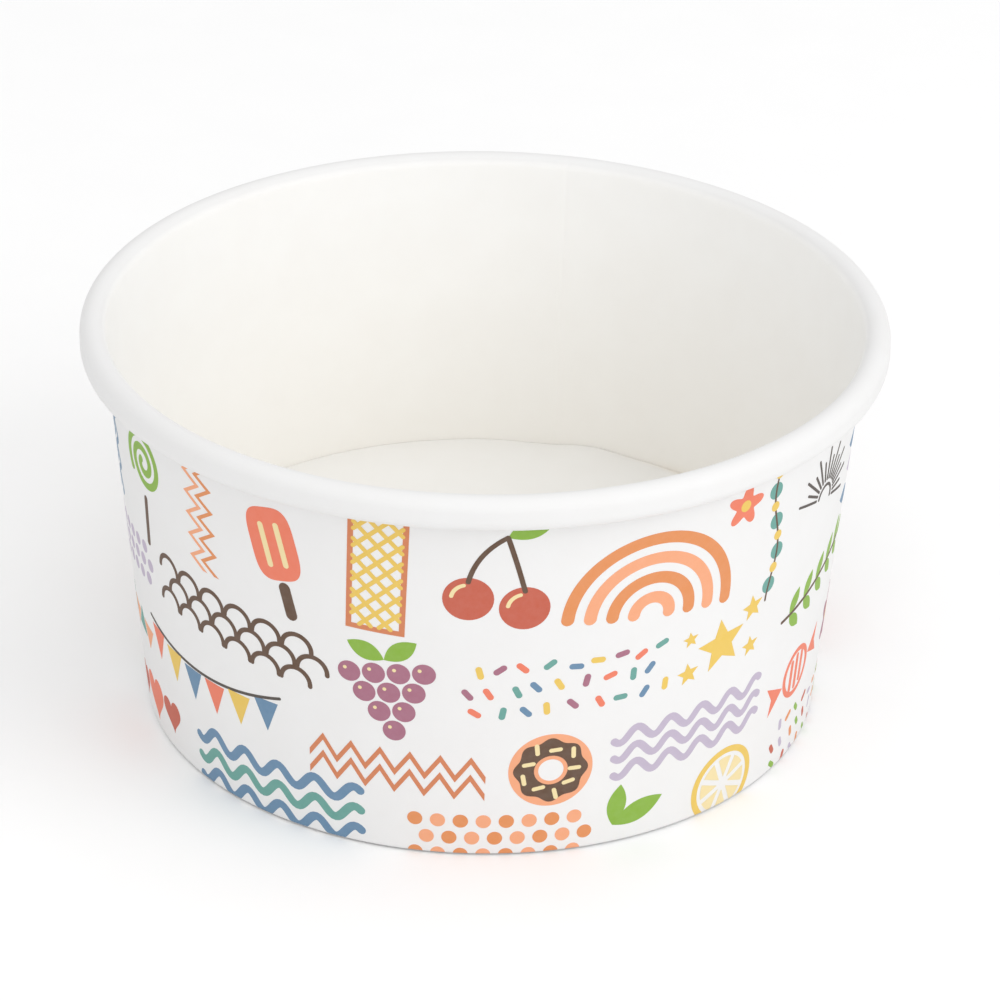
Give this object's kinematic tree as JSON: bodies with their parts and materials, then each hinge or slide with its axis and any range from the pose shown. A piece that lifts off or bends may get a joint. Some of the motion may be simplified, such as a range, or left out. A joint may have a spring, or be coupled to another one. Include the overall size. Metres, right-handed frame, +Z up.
{
  "type": "paper ice cream cup",
  "caption": "Tapered round paper cup with a rolled rim, a lapped side seam and a floor raised inside a hemmed foot, for a portion of ice cream.",
  "frame": {"origin": "centre of the circle that the foot stands on", "axes": "+Z up along the cup's axis towards the open rim; +Y towards the side seam at the back"},
  "size_m": [0.096, 0.096, 0.05],
  "materials": {
    "wall_board": "white coated paperboard, satin, printed outside",
    "bottom_board": "white coated paperboard, satin"
  },
  "bodies": {
    "root": {"side_wall": "wall_board", "bottom_disc": "bottom_board"}
  },
  "joints": []
}
